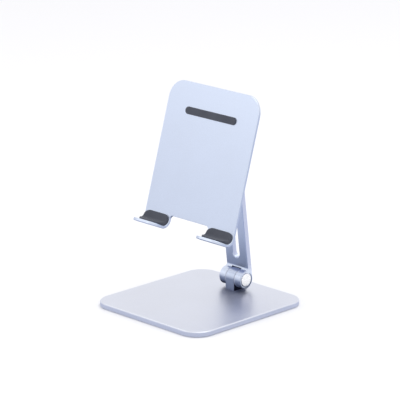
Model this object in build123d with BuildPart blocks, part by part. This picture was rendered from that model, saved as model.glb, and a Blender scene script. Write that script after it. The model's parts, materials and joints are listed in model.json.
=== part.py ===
from build123d import *
import os
from math import cos, radians, sin

# Tablet stand. A weighted base carries an arm on a friction hinge, and the arm carries a
# hooked panel on a second one. Millimetres. X runs to the user's right, Y to the back and Z
# up, and the origin is on the table, under the middle of the base.

# Base
base_width = 120.0
base_depth = 125.0
base_top = 4.5
base_corner_radius = 16.0
base_top_chamfer = 0.7
mat_thickness = 1.0
mat_proud = 0.4  # the mat holds the plate this far off the table
mat_inset = 4.0
mat_recess_gap = 0.2

# Friction hinges, both the same size, measured along and around their axes
barrel_radius = 7.5
hinge_length = 24.0  # over both knuckles, which is also the arm's width
lug_width = 9.5
lug_chamfer = 0.5  # round the lug's sides, where they face the washers
washer_thickness = 0.5
washer_radius = 7.2
knuckle_wall = 2.0  # left between the washer and the pocket that hides the bolt
pocket_radius = 5.6
bolt_radius = 2.5
bore_radius = 2.55
bolt_head_radius = 4.25
bolt_head_height = 2.7
bolt_socket_radius = 1.75
bolt_socket_depth = 1.6
spring_radius = 4.7
spring_thickness = 0.45
spring_dish = 0.2  # what the dished washer stands above its own thickness
spring_count = 2
nut_radius = 4.62  # over its corners
nut_height = 2.4
cap_radius = 5.55
cap_skirt_radius = 4.85
cap_recess = 0.2  # the cap's face lies this far inside the knuckle's
cap_thickness = 0.85
cap_edge = 0.3
cap_groove_radius = 6.4  # a groove in the knuckle sets off each cap
cap_groove_depth = 1.0

# Arm
lower_axis_y = 41.5
lower_axis_z = 13.9
arm_lean = 7.33  # degrees from upright, top towards the user
axis_distance = 138.2
arm_thickness = 5.0
arm_chamfer = 0.6
arm_root_fillet = 2.2
yoke_radius = 8.6  # the notch that clears a hinge lug
knuckle_chamfer = 0.3  # round the knuckles, where they face the lug
slot_width = 7.4
slot_bottom = 16.3  # up the arm from the lower axis
slot_top = 63.0
slot_chamfer = 0.5

# Panel
panel_lean = 16.53  # degrees from upright, top away from the user
panel_width = 100.0
panel_height = 107.9
panel_thickness = 2.2
panel_corner_radius = 15.0
panel_edge = 0.3
panel_axis_height = 85.1  # up the panel from its lower edge to the upper axis
panel_axis_depth = 12.0  # from the panel's front face back to the upper axis

# Hooks
hook_inner_x = 21.5
hook_fillet = 3.0
hook_bend_height = -3.9  # where the flat sheet starts to bend, up the panel
hook_bend_radius = 5.2  # inside the bend
hook_bend_angle = 100.0  # past square, so that the floor rises to its lip
hook_floor = 10.4
hook_corner_radius = 9.0

# Rubber pads on the panel
pad_thickness = 1.0
top_pad_width = 56.0
top_pad_height = 6.1
hook_pad_inner_x = 22.3
hook_pad_outer_x = 48.7
hook_pad_top = -0.1
hook_pad_floor = 5.4
hook_pad_top_radius = 5.2
hook_pad_lip_radius = 9.0
hook_pad_heel = (3.3, -6.4)  # out from the panel's face and up the panel
hook_pad_heel_fillet = 2.5

# Bracket behind the panel
bracket_half_width = 24.0
bracket_web = 1.6
wing_inner_x = 13.5
wing_thickness = 4.5
wing_corner_radius = 2.5
wing_chamfer = 0.6

# Countersunk screws, M3
screw_radius = 1.5
screw_head_radius = 2.8
screw_head_height = 1.3
screw_socket_radius = 1.1
screw_socket_depth = 0.8
screw_hole_radius = 1.6
lug_screw_spacing = 8.0
lug_screw_length = 8.0
bracket_screw_spacing = 38.0
bracket_screw_length = 6.0

edge_break = 0.3
clear = 30.0  # longer than anything it cuts through

# Places along a hinge's axis, out from its middle
knuckle_inside = lug_width / 2 + washer_thickness
pocket_floor = knuckle_inside + knuckle_wall
spring_height = spring_thickness + spring_dish
nut_inside = pocket_floor + spring_count * spring_height
nut_outside = nut_inside + nut_height
cap_outside = hinge_length / 2 - cap_recess
cap_inside = cap_outside - cap_thickness
groove_floor = hinge_length / 2 - cap_groove_depth

# Heights in the base
plate_bottom = mat_proud
mat_recess = mat_thickness - mat_proud
plate_recess_top = plate_bottom + mat_recess

# Across a hinge: x runs back through the arm, y up the arm and z along the hinge's axis
lean = radians(arm_lean)
arm_back = (0, cos(lean), sin(lean))
lower_axis = Plane(origin=(0, lower_axis_y, lower_axis_z), x_dir=arm_back, z_dir=(1, 0, 0))
upper_point = lower_axis.from_local_coords((0, axis_distance, 0))
upper_axis = Plane(origin=upper_point, x_dir=arm_back, z_dir=(1, 0, 0))

# On the panel's front face: x runs right, y up the panel and z out of its front
tilt = radians(panel_lean)
panel_forward = (0, -cos(tilt), sin(tilt))
panel_hinge = Plane(origin=upper_point, x_dir=(1, 0, 0), z_dir=panel_forward)
panel_foot = panel_hinge.from_local_coords((0, -panel_axis_height, panel_axis_depth))
panel_face = Plane(origin=panel_foot, x_dir=(1, 0, 0), z_dir=panel_forward)

# Across the panel: x runs out of its front, y up the panel and z to the user's left
panel_side = Plane(origin=panel_foot, x_dir=panel_forward, z_dir=(-1, 0, 0))
# Down on the hooks: x runs right, y towards the panel's back and z up the panel
panel_top_view = Plane(origin=panel_foot, x_dir=(1, 0, 0), z_dir=panel_face.y_dir)

# How a rectangle lies about its point
standing = (Align.CENTER, Align.MIN)
hanging = (Align.CENTER, Align.MAX)

# Where the bracket meets the panel's back, and where its screws' heads lie in the front
bracket_screw_face = panel_hinge.offset(panel_axis_depth)
bracket_face = bracket_screw_face.offset(-panel_thickness)
# Across the bracket: x runs forward from the upper axis and y up the panel
bracket_side = Plane(origin=upper_point, x_dir=panel_forward, z_dir=(-1, 0, 0))
wing_width = bracket_half_width - wing_inner_x
wing_x = wing_inner_x + wing_width / 2

screw_spots = [(0, -lug_screw_spacing / 2), (0, lug_screw_spacing / 2)]
bracket_spots = [(-bracket_screw_spacing / 2, 0), (bracket_screw_spacing / 2, 0)]


def is_across_sheet(edge):
    """True for an edge that runs straight through the panel's thickness."""
    return abs(edge.length - panel_thickness) < 0.01


def is_barrel_edge(edge):
    """True for an edge that runs round the outside of a hinge's barrel."""
    return abs(edge.radius - barrel_radius) < 0.01


def make_countersunk_screws(head_plane, spots, length):
    """Screws whose heads are flush with the plane and whose points are behind it."""
    to_head = (Align.CENTER, Align.CENTER, Align.MAX)
    with BuildPart(head_plane) as screws:
        with Locations(*spots):
            Cylinder(screw_radius, length, align=to_head)
            Cone(screw_radius, screw_head_radius, screw_head_height, align=to_head)
        with BuildSketch(head_plane):
            with Locations(*spots):
                RegularPolygon(screw_socket_radius, 6)
        extrude(amount=-screw_socket_depth, mode=Mode.SUBTRACT)
    return screws.part


def make_bolt(axis):
    """Socket-head bolt along the hinge, head in the left pocket."""
    with BuildPart() as bolt:
        with BuildSketch(axis.offset(-pocket_floor)):
            Circle(bolt_radius)
        extrude(amount=pocket_floor + nut_outside)
        with BuildSketch(axis.offset(-pocket_floor)):
            Circle(bolt_head_radius)
        extrude(amount=-bolt_head_height)
        chamfer(bolt.edges().filter_by(GeomType.CIRCLE).group_by(Axis.X)[0], edge_break)
        chamfer(bolt.edges().filter_by(GeomType.CIRCLE).group_by(Axis.X)[-1], edge_break)
        with BuildSketch(axis.offset(-pocket_floor - bolt_head_height)):
            RegularPolygon(bolt_socket_radius, 6)
        extrude(amount=bolt_socket_depth, mode=Mode.SUBTRACT)
    return bolt.part


def make_nut(axis):
    """Thin hexagon nut in the right pocket, with its corners turned off."""
    with BuildPart() as nut:
        with BuildSketch(axis.offset(nut_inside)):
            RegularPolygon(nut_radius, 6)
            Circle(bolt_radius, mode=Mode.SUBTRACT)
        extrude(amount=nut_height)
        with BuildSketch(axis.offset(nut_inside)):
            Circle(nut_radius - edge_break / 2)
        extrude(amount=nut_height, mode=Mode.INTERSECT)
    return nut.part


def make_disc_springs(axis):
    """Two dished washers, rim to rim, that load the hinge's faces."""
    section = Plane(origin=axis.origin, x_dir=(1, 0, 0), z_dir=axis.x_dir)
    middle = pocket_floor + spring_height
    with BuildPart() as springs:
        for side in (-1, 1):
            rim = middle
            eye = middle + side * spring_dish
            wall = side * spring_thickness
            with BuildSketch(section):
                with BuildLine():
                    Polyline(
                        (rim, spring_radius),
                        (eye, bore_radius),
                        (eye + wall, bore_radius),
                        (rim + wall, spring_radius),
                        close=True,
                    )
                make_face()
            revolve(axis=Axis(axis.origin, (1, 0, 0)))
    return springs.part


def make_washers(axis):
    """Friction washers, one each side of the lug."""
    with BuildPart() as washers:
        with BuildSketch(axis.offset(-knuckle_inside), axis.offset(lug_width / 2)):
            Circle(washer_radius)
            Circle(bore_radius, mode=Mode.SUBTRACT)
        extrude(amount=washer_thickness)
    return washers.part


def make_cap(axis, side):
    """Spun cover pressed into a pocket until its skirt meets the pocket's floor."""
    section = Plane(origin=axis.origin, x_dir=(side, 0, 0), z_dir=axis.x_dir)
    with BuildPart() as cap:
        with BuildSketch(section):
            with BuildLine():
                Polyline(
                    (cap_inside, 0),
                    (cap_inside, cap_skirt_radius),
                    (pocket_floor, cap_skirt_radius),
                    (pocket_floor, cap_radius),
                    (cap_outside - cap_edge, cap_radius),
                    (cap_outside, cap_radius - cap_edge),
                    (cap_outside, 0),
                    close=True,
                )
            make_face()
        revolve(axis=Axis(axis.origin, (1, 0, 0)))
    return cap.part


def make_hook_pad(side):
    """Moulded pad that lines one hook, thickest in the corner of the hook's bend."""
    width = hook_pad_outer_x - hook_pad_inner_x
    centre_x = side * (hook_pad_inner_x + hook_pad_outer_x) / 2
    with BuildPart() as pad:
        with BuildSketch(panel_side.offset(-centre_x)) as pad_profile:
            with BuildLine():
                back = Line((0, hook_pad_top), (0, hook_bend_height))
                bend = JernArc(back @ 1, back % 1, hook_bend_radius, hook_bend_angle)
                floor = Line(bend @ 1, bend @ 1 + (bend % 1) * hook_pad_floor)
                end = floor @ 1 + (floor % 1).rotate(Axis.Z, 90) * pad_thickness
                Polyline(floor @ 1, end, hook_pad_heel, (pad_thickness, hook_pad_top), back @ 0)
            make_face()
            heel = pad_profile.vertices().sort_by_distance(hook_pad_heel)[0]
            fillet(heel, hook_pad_heel_fillet)
        extrude(amount=width / 2, both=True)
        with BuildSketch(panel_face):
            with Locations((centre_x, hook_pad_top)):
                RectangleRounded(width, clear, hook_pad_top_radius, align=hanging)
        extrude(amount=clear, both=True, mode=Mode.INTERSECT)
        reach = (floor @ 1).X
        with BuildSketch(panel_top_view):
            with Locations((centre_x, -reach)):
                RectangleRounded(width, clear, hook_pad_lip_radius, align=standing)
        extrude(amount=clear, both=True, mode=Mode.INTERSECT)
    return pad.part


# Base plate, recessed underneath for the mat, with the lug's screw holes countersunk in it
with BuildPart() as base_plate:
    with BuildSketch(Plane.XY.offset(plate_bottom)):
        RectangleRounded(base_width, base_depth, base_corner_radius)
    extrude(amount=base_top - plate_bottom)
    chamfer(base_plate.faces().sort_by(Axis.Z)[-1].edges(), base_top_chamfer)
    chamfer(base_plate.faces().sort_by(Axis.Z)[0].edges(), edge_break)
    mat_width = base_width - 2 * mat_inset
    mat_depth = base_depth - 2 * mat_inset
    mat_corner_radius = base_corner_radius - mat_inset
    with BuildSketch(Plane.XY.offset(plate_bottom)):
        RectangleRounded(
            mat_width + 2 * mat_recess_gap,
            mat_depth + 2 * mat_recess_gap,
            mat_corner_radius + mat_recess_gap,
        )
    extrude(amount=mat_recess, mode=Mode.SUBTRACT)
    screw_face = Plane(origin=(0, lower_axis_y, plate_recess_top), x_dir=(1, 0, 0), z_dir=(0, 0, -1))
    with Locations(screw_face):
        with Locations(*screw_spots):
            CounterSinkHole(screw_hole_radius, screw_head_radius + 0.1, clear, 90)

# Rubber mat that the stand rests on
with BuildPart() as base_mat:
    with BuildSketch(Plane.XY):
        RectangleRounded(mat_width, mat_depth, mat_corner_radius)
    extrude(amount=mat_thickness)
    chamfer(base_mat.faces().sort_by(Axis.Z)[0].edges(), mat_proud / 2)

# Lug on the base: round over the hinge's axis, with flat sides down to the plate
with BuildPart() as base_lug:
    with BuildSketch(Plane.YZ):
        with Locations((lower_axis_y, lower_axis_z)):
            Circle(barrel_radius)
        with Locations((lower_axis_y, base_top)):
            Rectangle(2 * barrel_radius, lower_axis_z - base_top, align=standing)
    extrude(amount=lug_width / 2, both=True)
    outlines = base_lug.faces().filter_by(Axis.X).edges()
    above_plate = outlines.filter_by(lambda edge: edge.center().Z > base_top + edge_break)
    chamfer(above_plate, lug_chamfer)
    with BuildSketch(lower_axis):
        Circle(bore_radius)
    extrude(amount=lug_width, both=True, mode=Mode.SUBTRACT)
    lug_foot = Plane(origin=(0, lower_axis_y, base_top), x_dir=(1, 0, 0), z_dir=(0, 0, -1))
    thread_depth = lug_screw_length - (base_top - plate_recess_top) + edge_break
    with Locations(lug_foot):
        with Locations(*screw_spots):
            Hole(screw_radius, thread_depth)

# Arm: a slotted plate behind both axes, with a pair of knuckles at each end
with BuildPart() as arm:
    arm_front = barrel_radius - arm_thickness
    with BuildSketch(lower_axis) as arm_profile:
        with Locations((0, 0), (0, axis_distance)):
            Circle(barrel_radius)
        with Locations((arm_front, 0)):
            Rectangle(arm_thickness, axis_distance, align=(Align.MIN, Align.MIN))
        roots = arm_profile.vertices().filter_by(
            lambda vertex: abs(vertex.X - arm_front) < 0.01
        )
        fillet(roots, arm_root_fillet)
    extrude(amount=hinge_length / 2, both=True)
    chamfer(arm.faces().filter_by(Axis.X).edges(), arm_chamfer)
    for axis in (lower_axis, upper_axis):
        with BuildSketch(axis):
            Circle(yoke_radius)
        extrude(amount=knuckle_inside, both=True, mode=Mode.SUBTRACT)
        inner_edges = arm.edges(Select.LAST).filter_by(GeomType.CIRCLE)
        chamfer(inner_edges.filter_by(is_barrel_edge), knuckle_chamfer)
        with BuildSketch(axis):
            Circle(bore_radius)
        extrude(amount=hinge_length, both=True, mode=Mode.SUBTRACT)
        with BuildSketch(axis.offset(pocket_floor), axis.offset(-hinge_length / 2)):
            Circle(pocket_radius)
        extrude(amount=hinge_length / 2 - pocket_floor, mode=Mode.SUBTRACT)
        with BuildSketch(axis.offset(groove_floor), axis.offset(-hinge_length / 2)):
            Circle(cap_groove_radius)
        extrude(amount=cap_groove_depth, mode=Mode.SUBTRACT)
    slot_face = Plane(origin=lower_axis.origin, x_dir=(1, 0, 0), z_dir=-lower_axis.x_dir)
    with BuildSketch(slot_face.offset(-arm_front)):
        with Locations((0, (slot_bottom + slot_top) / 2)):
            SlotOverall(slot_top - slot_bottom, slot_width, rotation=90)
    extrude(amount=-arm_thickness, mode=Mode.SUBTRACT)
    through = Axis(lower_axis.origin, slot_face.z_dir)
    chamfer(arm.edges(Select.LAST).filter_by(through, reverse=True), slot_chamfer)

# Panel: a flat sheet whose two tongues bend forward into hooks
with BuildPart() as panel:
    with BuildSketch(panel_face) as sheet:
        tongue_width = panel_width / 2 - hook_inner_x
        tongue_x = hook_inner_x + tongue_width / 2
        Rectangle(panel_width, panel_height, align=standing)
        with Locations((-tongue_x, 0), (tongue_x, 0)):
            Rectangle(tongue_width, -hook_bend_height, align=hanging)
        fillet(sheet.vertices().group_by(Axis.Y)[-1], panel_corner_radius)
        inner_corners = sheet.vertices().filter_by(
            lambda vertex: abs(vertex.Y) < 0.01 and abs(abs(vertex.X) - hook_inner_x) < 0.01
        )
        fillet(inner_corners, hook_fillet)
    extrude(amount=-panel_thickness)
    for side in (-1, 1):
        with BuildSketch(panel_side.offset(-side * tongue_x)):
            with BuildLine():
                bend = JernArc(
                    (-panel_thickness / 2, hook_bend_height),
                    (0, -1),
                    hook_bend_radius + panel_thickness / 2,
                    hook_bend_angle,
                )
                floor = Line(bend @ 1, bend @ 1 + (bend % 1) * hook_floor)
            trace(line_width=panel_thickness)
        extrude(amount=tongue_width / 2, both=True)
    across = panel.edges().filter_by(is_across_sheet)
    fillet(across.sort_by(Axis(panel_foot, panel_forward))[-4:], hook_corner_radius)
    rims = panel.faces().filter_by(lambda face: len(face.edges().filter_by(is_across_sheet)) > 0)
    outline = rims.edges().filter_by(lambda edge: not is_across_sheet(edge))
    chamfer(outline, panel_edge)
    with Locations(bracket_screw_face):
        with Locations(*bracket_spots):
            CounterSinkHole(screw_hole_radius, screw_head_radius + 0.1, clear, 90)

# Bracket: a lug for the upper hinge between two thick wings that the screws thread into
with BuildPart() as panel_bracket:
    with BuildSketch(bracket_face):
        RectangleRounded(2 * bracket_half_width, 2 * barrel_radius, wing_corner_radius)
    extrude(amount=-bracket_web)
    with BuildSketch(bracket_face):
        with Locations((-wing_x, 0), (wing_x, 0)):
            RectangleRounded(wing_width, 2 * barrel_radius, wing_corner_radius)
    extrude(amount=-wing_thickness)
    wing_backs = panel_bracket.faces().sort_by(Axis(panel_foot, panel_forward))[:2]
    chamfer(wing_backs.edges(), wing_chamfer)
    with BuildSketch(bracket_side):
        Circle(barrel_radius)
        Rectangle(
            panel_axis_depth - panel_thickness,
            2 * barrel_radius,
            align=(Align.MIN, Align.CENTER),
        )
    extrude(amount=lug_width / 2, both=True)
    with BuildSketch(bracket_side):
        Circle(bore_radius)
    extrude(amount=lug_width, both=True, mode=Mode.SUBTRACT)
    with Locations(bracket_face):
        with Locations(*bracket_spots):
            Hole(screw_radius)

# Rubber strip near the panel's top, over the bracket's screws
with BuildPart() as top_pad:
    with BuildSketch(bracket_screw_face):
        SlotOverall(top_pad_width, top_pad_height)
    extrude(amount=pad_thickness)
    chamfer(top_pad.faces().sort_by(Axis(panel_foot, panel_forward))[-1].edges(), edge_break)

pieces = {
    "base_plate": base_plate.part,
    "base_mat": base_mat.part,
    "base_lug": base_lug.part,
    "lug_screws": make_countersunk_screws(screw_face, screw_spots, lug_screw_length),
    "arm": arm.part,
    "panel": panel.part,
    "panel_bracket": panel_bracket.part,
    "bracket_screws": make_countersunk_screws(
        bracket_screw_face, bracket_spots, bracket_screw_length
    ),
    "top_pad": top_pad.part,
    "hook_pad_left": make_hook_pad(-1),
    "hook_pad_right": make_hook_pad(1),
}
for hinge, axis in (("lower", lower_axis), ("upper", upper_axis)):
    pieces[f"{hinge}_bolt"] = make_bolt(axis)
    pieces[f"{hinge}_nut"] = make_nut(axis)
    pieces[f"{hinge}_disc_springs"] = make_disc_springs(axis)
    pieces[f"{hinge}_washers"] = make_washers(axis)
    pieces[f"{hinge}_cap_left"] = make_cap(axis, -1)
    pieces[f"{hinge}_cap_right"] = make_cap(axis, 1)

os.makedirs("parts", exist_ok=True)
for name, piece in pieces.items():
    piece.label = name
    export_step(piece, f"parts/{name}.step")
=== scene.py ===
import json
import math

import bmesh
import bpy
from mathutils import Matrix, Vector


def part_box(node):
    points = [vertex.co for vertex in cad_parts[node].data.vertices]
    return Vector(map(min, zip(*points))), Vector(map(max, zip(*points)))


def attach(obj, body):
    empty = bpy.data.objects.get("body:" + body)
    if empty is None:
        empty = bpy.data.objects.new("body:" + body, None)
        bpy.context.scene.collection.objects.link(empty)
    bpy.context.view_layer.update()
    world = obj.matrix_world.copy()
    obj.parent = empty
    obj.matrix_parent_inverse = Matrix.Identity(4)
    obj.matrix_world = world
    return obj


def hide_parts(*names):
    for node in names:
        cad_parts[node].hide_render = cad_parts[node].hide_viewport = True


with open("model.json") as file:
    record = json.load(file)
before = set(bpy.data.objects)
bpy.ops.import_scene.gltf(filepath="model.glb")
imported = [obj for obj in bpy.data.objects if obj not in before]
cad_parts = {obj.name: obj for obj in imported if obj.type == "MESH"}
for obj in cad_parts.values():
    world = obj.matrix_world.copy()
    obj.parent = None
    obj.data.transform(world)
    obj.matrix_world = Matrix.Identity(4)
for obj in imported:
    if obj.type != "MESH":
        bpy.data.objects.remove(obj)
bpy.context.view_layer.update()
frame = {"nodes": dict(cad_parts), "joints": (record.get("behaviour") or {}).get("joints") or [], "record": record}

MM = 0.001
joints = {joint["name"]: joint for joint in frame["joints"]}

# The view: where the camera looks from and what it looks at, in degrees and metres
VIEW_AZIMUTH = 45.2
VIEW_ELEVATION = 16.19
VIEW_DISTANCE = 1.943
VIEW_AIM = (-0.0013, 0.0016, 0.0870)
LENS_MM = 219.93
SENSOR_MM = 36.0

# The panel's own frame, in millimetres: across it, up it and out of its front
PANEL_LEAN = math.radians(16.53)
PANEL_AXIS_HEIGHT = 85.1
PANEL_AXIS_DEPTH = 12.0

# Rubber pads on the panel, in the panel's own frame
PAD_THICKNESS = 1.0
PAD_EDGE_RADIUS = 0.5
PAD_WALL = 0.4  # the part of a pad's thickness that stands up straight at its edge
TOP_PAD_HEIGHT = 6.1
HOOK_PAD_TOP = -0.1
HOOK_BEND_HEIGHT = -3.9
HOOK_BEND_RADIUS = 5.2
HOOK_BEND_ANGLE = math.radians(100.0)
HOOK_PAD_FLOOR = 5.4
HOOK_PAD_HEEL = (3.3, -6.4)
HOOK_PAD_HEEL_FILLET = 2.5
HOOK_PAD_TOP_RADIUS = 5.2
HOOK_PAD_LIP_RADIUS = 9.0

# The base, the arm and the lower hinge
BASE_CORNER_RADIUS = 16.0
ARM_LEAN = math.radians(7.33)
ARM_THICKNESS = 5.0
ARM_SET_BACK = 5.0  # from the lower hinge to the middle of the arm
ARM_SLOT = (16.3, 63.0)  # up the arm from the lower hinge
ARM_SLOT_WIDTH = 7.4
BARREL_RADIUS = 7.5
LUG_WIDTH = 9.5
YOKE_WIDTH = 10.5
YOKE_RADIUS = 8.6

# Mat under the base
MAT_CORNER_RADIUS = 12.0
MAT_GROOVES = (5.0, 7.0, 9.0)  # each groove's distance from the mat's edge
MAT_GROOVE_WIDTH = 0.8
MAT_GROOVE_DEPTH = 0.25

# Spun caps over the hinges' bolts
CAP_SEGMENTS = 128
CAP_EDGE_RADIUS = 0.35
CAP_DISH = 0.06  # how far the middle of a cap's face is hollowed
CAP_SKIRT_WALL = 0.7
CAP_FACE_THICKNESS = 0.85
CAP_RIM_STEPS = 8
CAP_FACE_RINGS = 12

# How the metal was finished, and the shade painted into it at the lower hinge: grain in metres
# Painted shade: the dark colour put on the lower hinge's notch and the lug's sides, where shade falls
HINGE_SHADE_PAINT = (0.05, 0.058, 0.095)
MASK_MARGIN = 0.02  # how far faces painted dark as shade are told apart from their neighbours
FRAME_TINT = (0.70, 0.765, 0.885)
FRAME_FINISH = {
    "roughness": 0.36,
    "grain": 0.16 * MM,
    "grain_strength": 0.10,
    "tone": 0.02,
    "edge_polish": 0.12,
}

# Reflection cards, in millimetres
CARD_DEPTH = 1.0
PLATE_GAP = 0.4
PLATE_ABOVE_SLOT = 60.0
DRUM_SEGMENTS = 48
DRUM_INSET = CAP_FACE_THICKNESS + 0.8
SIDE_CARD_ENDS = ((12.0, 70.0), (44.0, 38.0))
SIDE_CARD_HEIGHTS = (17.0, 150.0)
CAP_CARD_CORNER = (17.0, 44.0)
CAP_CARD_SIZE = 63.0
CAP_CARD_HEIGHT = 4.0

# The cards' colours, each at a distance in millimetres: painted reflections, darkest round the hinge's foot as
# painted shade.
# Round the hinge's foot, distance counts for less along the hinge.
HINGE_STRETCH = (0.3, 1.0, 1.0)
BASE_GLOW = [
    (0.0, (0.004, 0.006, 0.016)),
    (7.0, (0.014, 0.017, 0.036)),
    (11.0, (0.11, 0.125, 0.19)),
    (16.0, (0.165, 0.19, 0.28)),
    (35.0, (0.19, 0.22, 0.32)),
    (45.0, (0.22, 0.25, 0.355)),
    (61.0, (0.32, 0.36, 0.49)),
    (75.0, (0.42, 0.46, 0.60)),
]
ARM_GLOW = [
    (0.0, (0.004, 0.006, 0.016)),
    (4.0, (0.025, 0.03, 0.06)),
    (9.0, (0.10, 0.12, 0.20)),
    (18.0, (0.17, 0.20, 0.335)),
    (32.0, (0.26, 0.31, 0.53)),
]
LUG_GLOW = [
    (0.0, (0.004, 0.006, 0.016)),
    (6.0, (0.06, 0.07, 0.12)),
    (10.0, (0.09, 0.105, 0.17)),
    (13.0, (0.01, 0.01, 0.02)),
]
# The arm side's card: a painted reflection of a light floor
SIDE_GLOW = [
    (0.0, (0.70, 0.69, 0.79)),
    (60.0, (0.76, 0.75, 0.855)),
    (150.0, (0.77, 0.76, 0.865)),
]
# The caps' card: dark near the hinge as painted shade, then bright as a painted highlight on the caps
CAP_GLOW = [
    (0.0, (0.12, 0.13, 0.19)),
    (22.0, (0.3, 0.32, 0.4)),
    (28.0, (0.88, 0.89, 0.93)),
    (40.0, (1.08, 1.08, 1.1)),
    (110.0, (1.05, 1.05, 1.08)),
]

# The studio's surroundings, from straight below at 0 to straight above at 1
WORLD_STOPS = [
    (0.0, (0.45, 0.48, 0.62)),
    (0.36, (0.63, 0.67, 0.82)),
    (0.53, (0.77, 0.79, 0.865)),
    (0.61, (0.96, 0.96, 0.985)),
    (0.68, (0.98, 0.975, 1.0)),
    (1.0, (0.98, 0.975, 1.0)),
]


# ---------------------------------------------------------------- Materials


class Graph:
    """A material's node tree, with short ways to add and link its nodes."""

    def __init__(self, name):
        self.material = bpy.data.materials.new(name)
        self.material.use_nodes = True
        self.tree = self.material.node_tree
        self.shader = self.tree.nodes["Principled BSDF"]
        self.object_coords = self.add("ShaderNodeTexCoord").outputs["Object"]

    def add(self, kind, inputs=(), **settings):
        """A new node. An input is a number, a colour or another node's output."""
        node = self.tree.nodes.new(kind)
        for key, value in settings.items():
            setattr(node, key, value)
        for key, value in dict(inputs).items():
            self.put(node.inputs[key], value)
        return node

    def put(self, socket, value):
        if isinstance(value, bpy.types.NodeSocket):
            self.tree.links.new(value, socket)
        else:
            socket.default_value = value

    def noise(self, scale, detail=2.0, roughness=0.5, coords=None):
        """Noise from 0 to 1, with features 1/scale metres across."""
        inputs = {
            "Vector": coords or self.object_coords,
            "Scale": scale,
            "Detail": detail,
            "Roughness": roughness,
        }
        return self.add("ShaderNodeTexNoise", inputs).outputs["Fac"]

    def math(self, operation, a, b=0.0):
        return self.add("ShaderNodeMath", {0: a, 1: b}, operation=operation).outputs[0]

    def spread(self, value, low, high, to_low, to_high):
        """Maps low..high to to_low..to_high, held inside them."""
        inputs = {"Value": value, 1: low, 2: high, 3: to_low, 4: to_high}
        return self.add("ShaderNodeMapRange", inputs).outputs[0]

    def ramp(self, value, *stops):
        """Colours along a value: each stop is (place, colour)."""
        node = self.add("ShaderNodeValToRGB", {"Fac": value})
        elements = node.color_ramp.elements
        for index, (place, colour) in enumerate(stops):
            element = elements[index] if index < 2 else elements.new(place)
            element.position = place
            element.color = (*colour, 1.0)
        return node.outputs["Color"]

    def mix(self, amount, a, b):
        """From colour a to colour b."""
        node = self.add("ShaderNodeMix", data_type="RGBA")
        self.put(node.inputs[0], amount)
        self.put(node.inputs[6], a)
        self.put(node.inputs[7], b)
        return node.outputs[2]

    def edges(self, radius):
        """1 on sharp edges, down to 0 a radius away from them."""
        rounded = self.add("ShaderNodeBevel", {"Radius": radius}, samples=6).outputs["Normal"]
        flat = self.add("ShaderNodeNewGeometry").outputs["Normal"]
        alike = self.add("ShaderNodeVectorMath", {0: rounded, 1: flat}, operation="DOT_PRODUCT")
        return self.spread(alike.outputs["Value"], 0.995, 0.90, 0.0, 1.0)

    def bump(self, height, strength, distance, normal=None):
        """The surface's normal with this height on it, at most distance metres high."""
        inputs = {"Height": height, "Strength": strength, "Distance": distance}
        if normal is not None:
            inputs["Normal"] = normal
        return self.add("ShaderNodeBump", inputs).outputs["Normal"]

    def finish(self, sockets):
        """Sets or links the shader's sockets by name."""
        for key, value in sockets.items():
            self.put(self.shader.inputs[key], value)
        return self.material


def shade(colour, amount):
    return tuple(min(1.0, channel * amount) for channel in colour)


def hinge_faces(g, near, far, reach):
    """1 where X is near to far metres off the middle and within reach of the lower hinge."""
    axis = joints["base_hinge"]["pos_m"]
    split = g.add("ShaderNodeSeparateXYZ", {0: g.object_coords})
    off_middle = g.math("ABSOLUTE", split.outputs["X"])
    back = g.math("SUBTRACT", split.outputs["Y"], axis[1])
    up = g.math("SUBTRACT", split.outputs["Z"], axis[2])
    across = g.add("ShaderNodeCombineXYZ", {"Y": back, "Z": up}).outputs[0]
    away = g.add("ShaderNodeVectorMath", {0: across}, operation="LENGTH").outputs["Value"]
    inside = g.math("MULTIPLY", g.math("GREATER_THAN", off_middle, near),
                    g.math("LESS_THAN", off_middle, far))
    return g.math("MULTIPLY", inside, g.math("LESS_THAN", away, reach))


def blasted_metal(name, tint, roughness, grain, grain_strength, tone, edge_polish, shaded_faces=None):
    """Bead-blasted, anodised metal: fine grain, faint cloudiness, and polished edges that are lighter from wear
    and as a painted highlight.

    Faces of the lower hinge that are painted dark as shade are given as near, far and reach, in metres.
    """
    g = Graph(name)
    fine = g.noise(1 / grain, detail=3.0, roughness=0.6)
    speckle = g.noise(1 / (3 * grain), detail=1.0)
    cloud = g.noise(28.0, detail=3.0, roughness=0.55)
    worn = g.spread(g.noise(900.0, detail=4.0), 0.35, 0.65, 0.5, 1.0)
    edge = g.math("MULTIPLY", g.edges(0.35 * MM), worn)
    body = g.ramp(cloud, (0.3, shade(tint, 1 - tone)), (0.7, shade(tint, 1 + tone)))
    sparkle = g.ramp(speckle, (0.3, shade(tint, 0.93)), (0.7, shade(tint, 1.07)))
    body = g.mix(0.4, body, sparkle)
    # Edges lighter: worn polish, and a painted highlight along them
    colour = g.mix(g.math("MULTIPLY", edge, 0.8), body, (*shade(tint, 1.3), 1.0))
    # Painted shade: the chosen faces of the lower hinge turn dark
    if shaded_faces is not None:
        colour = g.mix(hinge_faces(g, *shaded_faces), colour, (*HINGE_SHADE_PAINT, 1.0))
    rough = g.math("ADD", g.spread(speckle, 0.3, 0.7, roughness - 0.04, roughness + 0.04),
                   g.spread(cloud, 0.3, 0.7, -0.03, 0.03))
    rough = g.math("SUBTRACT", rough, g.math("MULTIPLY", edge, edge_polish))
    return g.finish({
        "Base Color": colour,
        "Metallic": 1.0,
        "Roughness": rough,
        "Normal": g.bump(fine, grain_strength, 0.05 * MM),
    })


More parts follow.
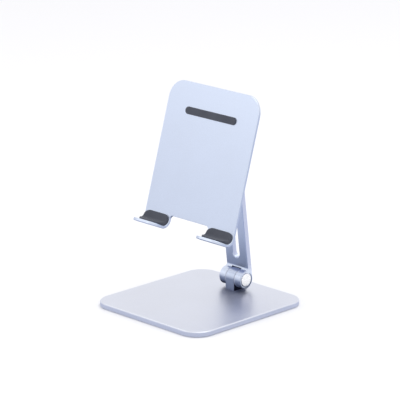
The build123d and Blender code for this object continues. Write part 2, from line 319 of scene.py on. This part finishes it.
def spun_metal(name, tint, roughness):
    """Turned metal: fine rings round the X axis, and faint spokes whose lighter and darker colour is a painted
    reflection and whose roughness varies.
    """
    g = Graph(name)
    split = g.add("ShaderNodeSeparateXYZ", {0: g.object_coords})
    y, z = split.outputs["Y"], split.outputs["Z"]
    across = g.add("ShaderNodeCombineXYZ", {"Y": y, "Z": z}).outputs[0]
    radius = g.add("ShaderNodeVectorMath", {0: across}, operation="LENGTH").outputs["Value"]
    around = g.add("ShaderNodeVectorMath", {0: across}, operation="NORMALIZE").outputs[0]
    ring_place = g.add("ShaderNodeCombineXYZ", {"X": radius}).outputs[0]
    rings = g.noise(14000.0, detail=3.0, coords=ring_place)
    broad_rings = g.noise(1800.0, detail=2.0, coords=ring_place)
    spokes = g.noise(5.0, detail=4.0, roughness=0.65, coords=around)
    # The spokes' colour is a painted reflection; the spokes also vary the roughness
    colour = g.ramp(spokes, (0.35, shade(tint, 0.86)), (0.62, shade(tint, 1.08)))
    rough = g.math("ADD", g.spread(spokes, 0.3, 0.7, roughness + 0.08, roughness - 0.06),
                   g.spread(broad_rings, 0.3, 0.7, -0.04, 0.04))
    normal = g.bump(rings, 0.35, 0.02 * MM, g.bump(broad_rings, 0.3, 0.04 * MM))
    return g.finish({
        "Base Color": colour,
        "Metallic": 1.0,
        "Roughness": rough,
        "Anisotropic": 0.5,
        "Normal": normal,
    })


def silicone(name, dark, light):
    """Matte moulded silicone with a fine tooth, a little dust and rubbed edges."""
    g = Graph(name)
    tooth = g.noise(1 / (0.22 * MM), detail=3.0, roughness=0.6)
    dust = g.noise(1 / (0.6 * MM), detail=5.0, roughness=0.7)
    cloud = g.noise(90.0, detail=3.0)
    body = g.ramp(cloud, (0.3, dark), (0.7, light))
    body = g.mix(g.spread(dust, 0.55, 0.8, 0.0, 0.5), body, (*shade(light, 1.5), 1.0))
    rubbed = g.math("MULTIPLY", g.edges(0.3 * MM), 0.25)
    body = g.mix(rubbed, body, (*shade(light, 1.25), 1.0))
    return g.finish({
        "Base Color": body,
        "Roughness": g.spread(dust, 0.3, 0.7, 0.58, 0.78),
        "Specular IOR Level": 0.35,
        "Sheen Weight": 0.12,
        "Sheen Roughness": 0.5,
        "Normal": g.bump(tooth, 0.35, 0.05 * MM),
    })


def ribbed_rubber(name, dark, light):
    """The mat's rubber: silicone with a fine diamond tread."""
    g = Graph(name)
    split = g.add("ShaderNodeSeparateXYZ", {0: g.object_coords})
    turn = 2 * math.pi / (2.4 * MM)
    along = g.math("MULTIPLY", g.math("ADD", split.outputs["X"], split.outputs["Y"]), turn)
    across = g.math("MULTIPLY", g.math("SUBTRACT", split.outputs["X"], split.outputs["Y"]), turn)
    tread = g.math("MULTIPLY", g.math("SINE", along), g.math("SINE", across))
    tooth = g.noise(1 / (0.25 * MM), detail=3.0, roughness=0.6)
    dust = g.noise(260.0, detail=5.0, roughness=0.7)
    body = g.ramp(g.noise(60.0), (0.3, dark), (0.7, light))
    body = g.mix(g.spread(dust, 0.5, 0.8, 0.0, 0.35), body, (*shade(light, 1.6), 1.0))
    normal = g.bump(tooth, 0.3, 0.05 * MM, g.bump(tread, 0.5, 0.25 * MM))
    return g.finish({
        "Base Color": body,
        "Roughness": g.spread(dust, 0.3, 0.7, 0.62, 0.82),
        "Specular IOR Level": 0.35,
        "Normal": normal,
    })


def brushed_steel(name, tint, roughness):
    """Zinc-plated steel with drawn streaks and darker, dirtier stains here and there."""
    g = Graph(name)
    stretch = g.add("ShaderNodeMapping", {"Vector": g.object_coords, "Scale": (40.0, 1.0, 1.0)})
    streaks = g.noise(260.0, detail=3.0, coords=stretch.outputs[0])
    stain = g.noise(700.0, detail=4.0, roughness=0.6)
    colour = g.ramp(streaks, (0.3, shade(tint, 0.8)), (0.7, shade(tint, 1.15)))
    colour = g.mix(g.spread(stain, 0.5, 0.8, 0.0, 0.5), colour, (*shade(tint, 0.6), 1.0))
    return g.finish({
        "Base Color": colour,
        "Metallic": 1.0,
        "Roughness": g.spread(stain, 0.3, 0.7, roughness - 0.05, roughness + 0.12),
        "Normal": g.bump(streaks, 0.15, 0.02 * MM),
    })


def nylon(name, dark, light):
    """Natural nylon washer, a little shiny where it has been rubbed."""
    g = Graph(name)
    scuff = g.noise(1500.0, detail=4.0, roughness=0.6)
    return g.finish({
        "Base Color": g.ramp(scuff, (0.3, dark), (0.75, light)),
        "Roughness": g.spread(scuff, 0.3, 0.7, 0.55, 0.38),
        "Normal": g.bump(scuff, 0.2, 0.03 * MM),
    })


def paper(name, colour):
    """The floor's seamless paper."""
    g = Graph(name)
    fibre = g.noise(600.0, detail=4.0)
    return g.finish({
        "Base Color": g.ramp(fibre, (0.3, shade(colour, 0.995)), (0.7, shade(colour, 1.005))),
        "Roughness": 0.95,
        "Specular IOR Level": 0.1,
    })


# ---------------------------------------------------------------- Meshes


def add_piece(name, bm, material, place=None, smooth_angle=35.0):
    """A new object from a bmesh, shaded smooth up to an angle between faces."""
    bmesh.ops.recalc_face_normals(bm, faces=bm.faces)
    mesh = bpy.data.meshes.new(name)
    bm.to_mesh(mesh)
    bm.free()
    mesh.shade_smooth()
    mesh.set_sharp_from_angle(angle=math.radians(smooth_angle))
    mesh.materials.append(material)
    piece = bpy.data.objects.new(name, mesh)
    if place is not None:
        piece.matrix_world = place
    bpy.context.scene.collection.objects.link(piece)
    return piece


def stand_for(piece, node, body):
    """The piece is shown instead of a CAD node and moves with its body."""
    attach(piece, body)
    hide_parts(node)


def bridge(bm, first, second):
    """Quads between two closed rings of the same number of vertices."""
    for i in range(len(first)):
        j = (i + 1) % len(first)
        bm.faces.new((first[i], first[j], second[j], second[i]))


def arc_points(centre, radius, start, turn, count):
    """Points round an arc, both ends included."""
    angles = [start + turn * i / count for i in range(count + 1)]
    return [(centre[0] + radius * math.cos(a), centre[1] + radius * math.sin(a)) for a in angles]


def round_corner(before, corner, after, radius, count):
    """Points that round off the corner between two straight lines."""
    corner = Vector(corner)
    first = (Vector(before) - corner).normalized()
    second = (Vector(after) - corner).normalized()
    half = first.angle(second) / 2
    reach = radius / math.tan(half)
    centre = corner + (first + second).normalized() * radius / math.sin(half)
    start = corner + first * reach - centre
    turn = start.angle_signed(corner + second * reach - centre)
    start_angle = math.atan2(start.y, start.x)
    return arc_points(centre, radius, start_angle, -turn, count)


def at_length(points, fraction):
    """The place at a fraction of the length along a line of points."""
    points = [Vector(p) for p in points]
    steps = [(b - a).length for a, b in zip(points, points[1:])]
    left = fraction * sum(steps)
    for start, end, step in zip(points, points[1:], steps):
        if left <= step:
            return start.lerp(end, left / step)
        left -= step
    return points[-1]


def length_of(points):
    return sum((Vector(b) - Vector(a)).length for a, b in zip(points, points[1:]))


def places_across(length, fine, coarse):
    """Places from 0 to length, close together near both ends."""
    near = [fine * (1 - math.cos(math.pi / 2 * i / 6)) for i in range(7)]
    count = max(2, round((length - 2 * fine) / coarse))
    middle = [fine + (length - 2 * fine) * i / count for i in range(1, count)]
    return near + middle + [length - place for place in reversed(near)]


def pad_height(inside):
    """A pad's height at a distance inside its edge, as a part of its full thickness."""
    gap = max(0.0, 1 - inside / PAD_EDGE_RADIUS)
    return PAD_WALL + (1 - PAD_WALL) * math.sqrt(max(0.0, 1 - gap * gap))


def build_pad(back, front, width, top_radius, low_radius):
    """A pad over a curved back. Lines go from its top edge to its low one, as (out, up)."""
    length = length_of(back)
    rows = places_across(length, PAD_EDGE_RADIUS, 0.5)
    columns = [2 * place / width - 1 for place in places_across(width, PAD_EDGE_RADIUS, 0.9)]

    def corner_cut(row):
        for radius, along in ((top_radius, row), (low_radius, length - row)):
            if along < radius:
                return radius, radius - math.sqrt(radius**2 - (radius - along) ** 2)
        return 0.0, 0.0

    def depth_inside(x, row):
        radius = top_radius if row < length - low_radius else low_radius
        qx = abs(x) - width / 2 + radius
        qy = abs(row - length / 2) - length / 2 + radius
        outside = math.hypot(max(qx, 0.0), max(qy, 0.0))
        return radius - outside - min(max(qx, qy), 0.0)

    bm = bmesh.new()
    low, high = [], []
    for row in rows:
        behind = at_length(back, row / length)
        ahead = at_length(front, row / length)
        half = width / 2 - corner_cut(row)[1]
        low.append([bm.verts.new((half * c, behind.y, behind.x)) for c in columns])
        top_row = []
        for c in columns:
            spot = behind.lerp(ahead, pad_height(depth_inside(half * c, row)))
            top_row.append(bm.verts.new((half * c, spot.y, spot.x)))
        high.append(top_row)
    for grid in (low, high):
        for i in range(len(rows) - 1):
            for j in range(len(columns) - 1):
                bm.faces.new((grid[i][j], grid[i][j + 1], grid[i + 1][j + 1], grid[i + 1][j]))

    def rim(grid):
        left = [row[0] for row in reversed(grid[1:-1])]
        right = [row[-1] for row in grid[1:-1]]
        return grid[0] + right + list(reversed(grid[-1])) + left

    bridge(bm, rim(low), rim(high))
    return bm


def scaled(bm, factor):
    bmesh.ops.scale(bm, vec=(factor, factor, factor), verts=bm.verts)
    return bm


def hook_pad_lines():
    """The pad's back, along the bent hook, and its front, which fills the bend."""
    bend_centre = (HOOK_BEND_RADIUS, HOOK_BEND_HEIGHT)
    bend = arc_points(bend_centre, HOOK_BEND_RADIUS, math.pi, HOOK_BEND_ANGLE, 32)
    rise = HOOK_BEND_ANGLE - math.pi / 2
    along = Vector((math.cos(rise), math.sin(rise)))
    off = Vector((-math.sin(rise), math.cos(rise)))
    floor_end = Vector(bend[-1]) + along * HOOK_PAD_FLOOR
    back = [(0.0, HOOK_PAD_TOP)] + bend + [tuple(floor_end)]
    front_top = (PAD_THICKNESS, HOOK_PAD_TOP)
    front_end = tuple(floor_end + off * PAD_THICKNESS)
    heel = round_corner(front_top, HOOK_PAD_HEEL, front_end, HOOK_PAD_HEEL_FILLET, 16)
    return back, [front_top] + heel + [front_end]


def rounded_loop(bm, width, depth, radius, z, inset):
    """A ring of vertices round a rectangle with rounded corners."""
    radius = max(radius - inset, 0.5)
    hx, hy = width / 2 - inset - radius, depth / 2 - inset - radius
    corners = ((hx, hy, 0), (-hx, hy, 1), (-hx, -hy, 2), (hx, -hy, 3))
    points = []
    for x, y, quarter in corners:
        points += arc_points((x, y), radius, quarter * math.pi / 2, math.pi / 2, 12)
    return [bm.verts.new((x, y, z)) for x, y in points]


def build_mat(width, depth, thickness):
    """The mat: rounded low edge, with grooves round its underside."""
    profile = [(0.0, thickness), (0.0, 0.3), (0.1, 0.1), (0.3, 0.0)]
    for groove in MAT_GROOVES:
        start, end = groove - MAT_GROOVE_WIDTH / 2, groove + MAT_GROOVE_WIDTH / 2
        slope = MAT_GROOVE_WIDTH / 4
        profile += [(start, 0.0), (start + slope, MAT_GROOVE_DEPTH)]
        profile += [(end - slope, MAT_GROOVE_DEPTH), (end, 0.0)]
    bm = bmesh.new()
    rings = [
        rounded_loop(bm, width, depth, MAT_CORNER_RADIUS, z, inset) for inset, z in profile
    ]
    for first, second in zip(rings, rings[1:]):
        bridge(bm, first, second)
    bm.faces.new(rings[0])
    bm.faces.new(rings[-1])
    return bm


def build_cap(radius, height):
    """A spun cap about X, its face outwards at height: dished, with a rounded rim and a skirt."""
    rim = arc_points((height - CAP_EDGE_RADIUS, radius - CAP_EDGE_RADIUS), CAP_EDGE_RADIUS,
                     0.0, math.pi / 2, CAP_RIM_STEPS)
    skirt = radius - CAP_SKIRT_WALL
    face_back = height - CAP_FACE_THICKNESS
    flat = radius - CAP_EDGE_RADIUS
    dish = []
    for i in range(1, CAP_FACE_RINGS + 1):
        share = i / (CAP_FACE_RINGS + 1)
        dish.append((height - CAP_DISH * (1 - share**2) ** 2, flat * share))
    profile = dish + rim + [(0.0, radius), (0.0, skirt), (face_back, skirt)]
    bm = bmesh.new()
    rings = []
    for x, r in profile:
        angles = [2 * math.pi * i / CAP_SEGMENTS for i in range(CAP_SEGMENTS)]
        rings.append([bm.verts.new((x, r * math.cos(a), r * math.sin(a))) for a in angles])
    for first, second in zip(rings, rings[1:]):
        bridge(bm, first, second)
    for ring, x in ((rings[0], height - CAP_DISH), (rings[-1], face_back)):
        middle = bm.verts.new((x, 0.0, 0.0))
        for i in range(CAP_SEGMENTS):
            bm.faces.new((ring[i], ring[(i + 1) % CAP_SEGMENTS], middle))
    return bm


# ---------------------------------------------------------------- Stage


def towards(azimuth, elevation):
    """The unit vector from the object to a viewer at these angles, in degrees."""
    a, e = math.radians(azimuth), math.radians(elevation)
    return Vector((math.sin(a) * math.cos(e), -math.cos(a) * math.cos(e), math.sin(e)))


def add_camera():
    data = bpy.data.cameras.new("camera")
    data.lens = LENS_MM
    data.sensor_width = SENSOR_MM
    data.clip_end = 20.0
    camera = bpy.data.objects.new("camera", data)
    back = towards(VIEW_AZIMUTH, VIEW_ELEVATION)
    camera.location = Vector(VIEW_AIM) + back * VIEW_DISTANCE
    camera.rotation_euler = back.to_track_quat("Z", "Y").to_euler()
    bpy.context.scene.collection.objects.link(camera)
    bpy.context.scene.camera = camera


def quad(corners):
    """A bmesh with one four-sided face."""
    bm = bmesh.new()
    bm.faces.new([bm.verts.new(corner) for corner in corners])
    return bm


def add_softbox(name, azimuth, elevation, distance, size, power):
    """An area light that faces the object."""
    data = bpy.data.lights.new(name, "AREA")
    data.shape = "RECTANGLE"
    data.size, data.size_y = size
    data.energy = power
    data.color = (0.97, 0.98, 1.0)
    light = bpy.data.objects.new(name, data)
    direction = towards(azimuth, elevation)
    light.location = Vector(VIEW_AIM) + direction * distance
    light.rotation_euler = direction.to_track_quat("Z", "Y").to_euler()
    bpy.context.scene.collection.objects.link(light)


def add_world(bright_side, stops, strength):
    """Studio surroundings, shaded from 0, away from the bright side, to 1, towards it."""
    world = bpy.data.worlds.new("world")
    bpy.context.scene.world = world
    world.use_nodes = True
    tree = world.node_tree
    coords = tree.nodes.new("ShaderNodeTexCoord")
    facing = tree.nodes.new("ShaderNodeVectorMath")
    facing.operation = "DOT_PRODUCT"
    facing.inputs[1].default_value = Vector(bright_side).normalized()
    share = tree.nodes.new("ShaderNodeMapRange")
    share.inputs["From Min"].default_value = -1.0
    ramp = tree.nodes.new("ShaderNodeValToRGB")
    tree.links.new(coords.outputs["Generated"], facing.inputs[0])
    tree.links.new(facing.outputs["Value"], share.inputs["Value"])
    tree.links.new(share.outputs[0], ramp.inputs["Fac"])
    background = tree.nodes["Background"]
    tree.links.new(ramp.outputs["Color"], background.inputs["Color"])
    background.inputs["Strength"].default_value = strength
    elements = ramp.color_ramp.elements
    for index, (place, colour) in enumerate(stops):
        element = elements[index] if index < 2 else elements.new(place)
        element.position = place
        element.color = (*colour, 1.0)


def add_floor(size, material):
    mesh = bpy.data.meshes.new("floor")
    corners = [(-size, -size), (size, -size), (size, size), (-size, size)]
    mesh.from_pydata([(x, y, -0.2 * MM) for x, y in corners], [], [(0, 1, 2, 3)])
    mesh.materials.append(material)
    floor = bpy.data.objects.new("floor", mesh)
    bpy.context.scene.collection.objects.link(floor)
    floor.visible_glossy = False  # so that the metal reflects the studio, not the white paper


def glow(name, centre, stretch, stops):
    """Glowing paint for a painted reflection. Its colour goes by the distance from a point, with stops in
    millimetres.
    """
    g = Graph(name)
    near = g.add("ShaderNodeVectorMath", {0: g.object_coords, 1: centre}, operation="SUBTRACT")
    near = g.add("ShaderNodeVectorMath", {0: near.outputs[0], 1: stretch}, operation="MULTIPLY")
    away = g.add("ShaderNodeVectorMath", {0: near.outputs[0]}, operation="LENGTH")
    reach = stops[-1][0]
    colour = g.ramp(g.math("DIVIDE", away.outputs["Value"], reach * MM),
                    *[(place / reach, colour) for place, colour in stops])
    return g.finish({
        "Base Color": (0.0, 0.0, 0.0, 1.0),
        "Specular IOR Level": 0.0,
        "Emission Color": colour,
        "Emission Strength": 1.0,
    })


def add_card(name, bm, material, body):
    """A card that only the metal's reflections see. It moves with a body."""
    card = add_piece(name, bm, material)
    card.visible_camera = False
    card.visible_diffuse = False
    card.visible_shadow = False
    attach(card, body)


def slab(bm, width, depth, height, place):
    """A block as wide as X, as deep as Y and as high as Z, its foot's middle at the origin."""
    corners = [(x, y, z) for z in (0, height) for y in (-depth / 2, depth / 2)
               for x in (-width / 2, width / 2)]
    verts = [bm.verts.new(place @ Vector(corner)) for corner in corners]
    sides = ((0, 1, 3, 2), (4, 5, 7, 6), (0, 1, 5, 4), (2, 3, 7, 6), (0, 2, 6, 4), (1, 3, 7, 5))
    for side in sides:
        bm.faces.new([verts[i] for i in side])


def drum(bm, width, inset, radius, place):
    """A drum along X, its middle at the origin and its heads an inset inside its ends."""
    steps = DRUM_SEGMENTS - 1
    circle = arc_points((0.0, 0.0), radius, 0.0, 2 * math.pi * steps / DRUM_SEGMENTS, steps)
    rings = []
    for x in (-width / 2, inset - width / 2, width / 2 - inset, width / 2):
        rings.append([bm.verts.new(place @ Vector((x, y, z))) for y, z in circle])
    for first, second in zip(rings, rings[1:]):
        bridge(bm, first, second)
    bm.faces.new(rings[1])
    bm.faces.new(rings[2])


# ---------------------------------------------------------------- The stand

frame_metal = blasted_metal("frame_metal", FRAME_TINT, **FRAME_FINISH)
base_metal = blasted_metal(
    "base_metal", (0.745, 0.77, 0.835), roughness=0.38, grain=0.22 * MM, grain_strength=0.16,
    tone=0.025, edge_polish=0.14,
)
cap_metal = spun_metal("cap_metal", (0.92, 0.93, 0.96), roughness=0.24)
steel = brushed_steel("steel", (0.55, 0.56, 0.58), roughness=0.34)
washer_plastic = nylon("washer_plastic", (0.62, 0.65, 0.74), (0.72, 0.75, 0.84))
pad_rubber = silicone("pad_rubber", (0.052, 0.058, 0.076), (0.066, 0.072, 0.092))
mat_rubber = ribbed_rubber("mat_rubber", (0.05, 0.053, 0.062), (0.075, 0.08, 0.092))

finishes = {
    "base_metal": base_metal,
    "frame_metal": frame_metal,
    "cap_metal": cap_metal,
    "steel": steel,
    "washer_plastic": washer_plastic,
    "rubber": pad_rubber,
}
# The arm's copy of the frame metal, with the notch of its yoke at the lower hinge painted dark as shade
arm_metal = blasted_metal(
    "arm_metal", FRAME_TINT, **FRAME_FINISH,
    shaded_faces=(0.0, (YOKE_WIDTH / 2 + MASK_MARGIN) * MM, (YOKE_RADIUS + 0.05) * MM),
)
# The lug's copy of the frame metal: its darker tint is painted shade, and its sides near the hinge are painted
# dark as shade too
lug_shaded_metal = blasted_metal(
    "lug_shaded_metal", (0.62, 0.685, 0.81), **FRAME_FINISH,
    shaded_faces=((LUG_WIDTH / 2 - MASK_MARGIN) * MM, LUG_WIDTH * MM, 4 * BARREL_RADIUS * MM),
)
for subpart in frame["record"]["subparts"]:
    mesh = frame["nodes"][subpart["node"]].data
    mesh.materials.clear()
    mesh.materials.append(finishes[subpart["material_slot"]])
frame["nodes"]["base_lug"].data.materials[0] = lug_shaded_metal
frame["nodes"]["arm"].data.materials[0] = arm_metal

# The panel's frame stands on the middle of its front face's low edge
up = Vector((0.0, math.sin(PANEL_LEAN), math.cos(PANEL_LEAN)))
forward = Vector((0.0, -math.cos(PANEL_LEAN), math.sin(PANEL_LEAN)))
foot = Vector(joints["panel_hinge"]["pos_m"])
foot += (forward * PANEL_AXIS_DEPTH - up * PANEL_AXIS_HEIGHT) * MM
panel_place = Matrix((Vector((1.0, 0.0, 0.0)), up, forward)).transposed().to_4x4()
panel_place.translation = foot

back_line, front_line = hook_pad_lines()
for side in ("left", "right"):
    node = f"hook_pad_{side}"
    low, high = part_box(node)
    pad_width = (high.x - low.x) / MM
    bm = build_pad(back_line, front_line, pad_width, HOOK_PAD_TOP_RADIUS, HOOK_PAD_LIP_RADIUS)
    middle = Matrix.Translation(((low.x + high.x) / 2, 0.0, 0.0))
    pad = add_piece(f"{node}_soft", scaled(bm, MM), pad_rubber, middle @ panel_place)
    stand_for(pad, node, "panel")

low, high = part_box("top_pad")
half_height = TOP_PAD_HEIGHT / 2
top_edge, low_edge = PANEL_AXIS_HEIGHT + half_height, PANEL_AXIS_HEIGHT - half_height
bm = build_pad(
    [(0.0, top_edge), (0.0, low_edge)],
    [(PAD_THICKNESS, top_edge), (PAD_THICKNESS, low_edge)],
    (high.x - low.x) / MM,
    half_height,
    half_height,
)
top_pad = add_piece("top_pad_soft", scaled(bm, MM), pad_rubber, panel_place)
stand_for(top_pad, "top_pad", "panel")

low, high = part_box("base_mat")
size = (high - low) / MM
mat = add_piece("base_mat_soft", scaled(build_mat(size.x, size.y, size.z), MM), mat_rubber)
stand_for(mat, "base_mat", "base")

for hinge, joint in (("lower", "base_hinge"), ("upper", "panel_hinge")):
    axis_point = Vector(joints[joint]["pos_m"])
    for side in ("left", "right"):
        node = f"{hinge}_cap_{side}"
        low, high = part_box(node)
        turn = Matrix.Rotation(math.pi if side == "left" else 0.0, 4, "Z")
        foot_x = high.x if side == "left" else low.x
        place = Matrix.Translation((foot_x, axis_point.y, axis_point.z)) @ turn
        bm = build_cap((high.y - low.y) / 2 / MM, (high.x - low.x) / MM)
        cap = add_piece(f"{node}_spun", scaled(bm, MM), cap_metal, place)
        stand_for(cap, node, "arm")

# ---------------------------------------------------------------- Studio

# The metal's reflections see glowing cards inside the base, the lug and the arm instead of the parts themselves:
# painted reflections, darkened towards the lower hinge as painted shade. Each card lies a little inside its part.
for node in ("base_plate", "base_lug", "arm"):
    frame["nodes"][node].visible_glossy = False
mat.visible_glossy = False

hinge_point = Vector(joints["base_hinge"]["pos_m"])
base_low, base_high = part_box("base_plate")
arm_low, arm_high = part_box("arm")
lug_low, lug_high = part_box("base_lug")
hinge_place = Matrix.Translation(hinge_point / MM)
hinge_foot = (0.0, hinge_point.y, base_high.z)

bm = bmesh.new()
size = (base_high - base_low) / MM
top = base_high.z / MM - CARD_DEPTH
ring = rounded_loop(bm, size.x, size.y, BASE_CORNER_RADIUS, top, CARD_DEPTH)
bm.faces.new(ring)
add_card("base_card", scaled(bm, MM), glow("base_glow", hinge_foot, HINGE_STRETCH, BASE_GLOW), "base")

# The arm's card: a drum for the knuckles, and a plate that starts above the caps and is open
# at the slot
bm = bmesh.new()
arm_width = (arm_high.x - arm_low.x) / MM
drum(bm, arm_width, DRUM_INSET, BARREL_RADIUS - 0.3, hinge_place)
plate_place = hinge_place @ Matrix.Rotation(ARM_LEAN, 4, "X")
plate_place @= Matrix.Translation((0.0, ARM_SET_BACK, 0.0))
plate_width = arm_width - PLATE_GAP
plate_depth = ARM_THICKNESS - PLATE_GAP
rail = (arm_width - ARM_SLOT_WIDTH) / 2 - PLATE_GAP
rail_x = (ARM_SLOT_WIDTH + rail + PLATE_GAP) / 2
slot_low, slot_high = ARM_SLOT
above_caps = BARREL_RADIUS - CARD_DEPTH
for x, width, low, high in (
    (0.0, plate_width, above_caps, slot_low),
    (-rail_x, rail, slot_low, slot_high),
    (rail_x, rail, slot_low, slot_high),
    (0.0, plate_width, slot_high, slot_high + PLATE_ABOVE_SLOT),
):
    place = plate_place @ Matrix.Translation((x, 0.0, low))
    slab(bm, width, plate_depth, high - low, place)
add_card("arm_card", scaled(bm, MM), glow("arm_glow", hinge_foot, HINGE_STRETCH, ARM_GLOW), "arm")

bm = bmesh.new()
lug_width = (lug_high.x - lug_low.x) / MM - PLATE_GAP
drum(bm, lug_width, 0.1, BARREL_RADIUS - 0.15, hinge_place)
lug_foot = Matrix.Translation(Vector(hinge_foot) / MM)
lug_height = (hinge_point.z - base_high.z) / MM
slab(bm, lug_width, 2 * BARREL_RADIUS - PLATE_GAP, lug_height, lug_foot)
add_card("lug_card", scaled(bm, MM), glow("lug_glow", hinge_foot, HINGE_STRETCH, LUG_GLOW), "base")

# Behind the hinge on the right, painted reflections: a tall light card for the arm's side, and a low one for the
# caps that is bright as a painted highlight
(left, back), (right, front) = SIDE_CARD_ENDS
low, high = SIDE_CARD_HEIGHTS
bm = quad([(left, back, low), (right, front, low), (right, front, high), (left, back, high)])
side_glow = glow("side_glow", (0.0, 0.0, 0.0), (0.0, 0.0, 1.0), SIDE_GLOW)
add_card("side_card", scaled(bm, MM), side_glow, "base")

x, y = CAP_CARD_CORNER
far_x, far_y = x + CAP_CARD_SIZE, y + CAP_CARD_SIZE
z = CAP_CARD_HEIGHT
bm = quad([(x, y, z), (far_x, y, z), (far_x, far_y, z), (x, far_y, z)])
cap_glow = glow("cap_glow", tuple(hinge_point), (1.0, 1.0, 0.0), CAP_GLOW)
add_card("cap_card", scaled(bm, MM), cap_glow, "base")

add_camera()
add_world((0.0, 0.0, 1.0), WORLD_STOPS, 1.0)
add_softbox("top_light", azimuth=150, elevation=75, distance=1.3, size=(1.0, 1.0), power=4)
add_softbox("front_light", azimuth=-35, elevation=32, distance=0.75, size=(0.5, 0.4), power=0.3)
add_floor(6.0, paper("floor_paper", (0.93, 0.93, 0.93)))
bpy.context.scene.view_settings.view_transform = "Standard"
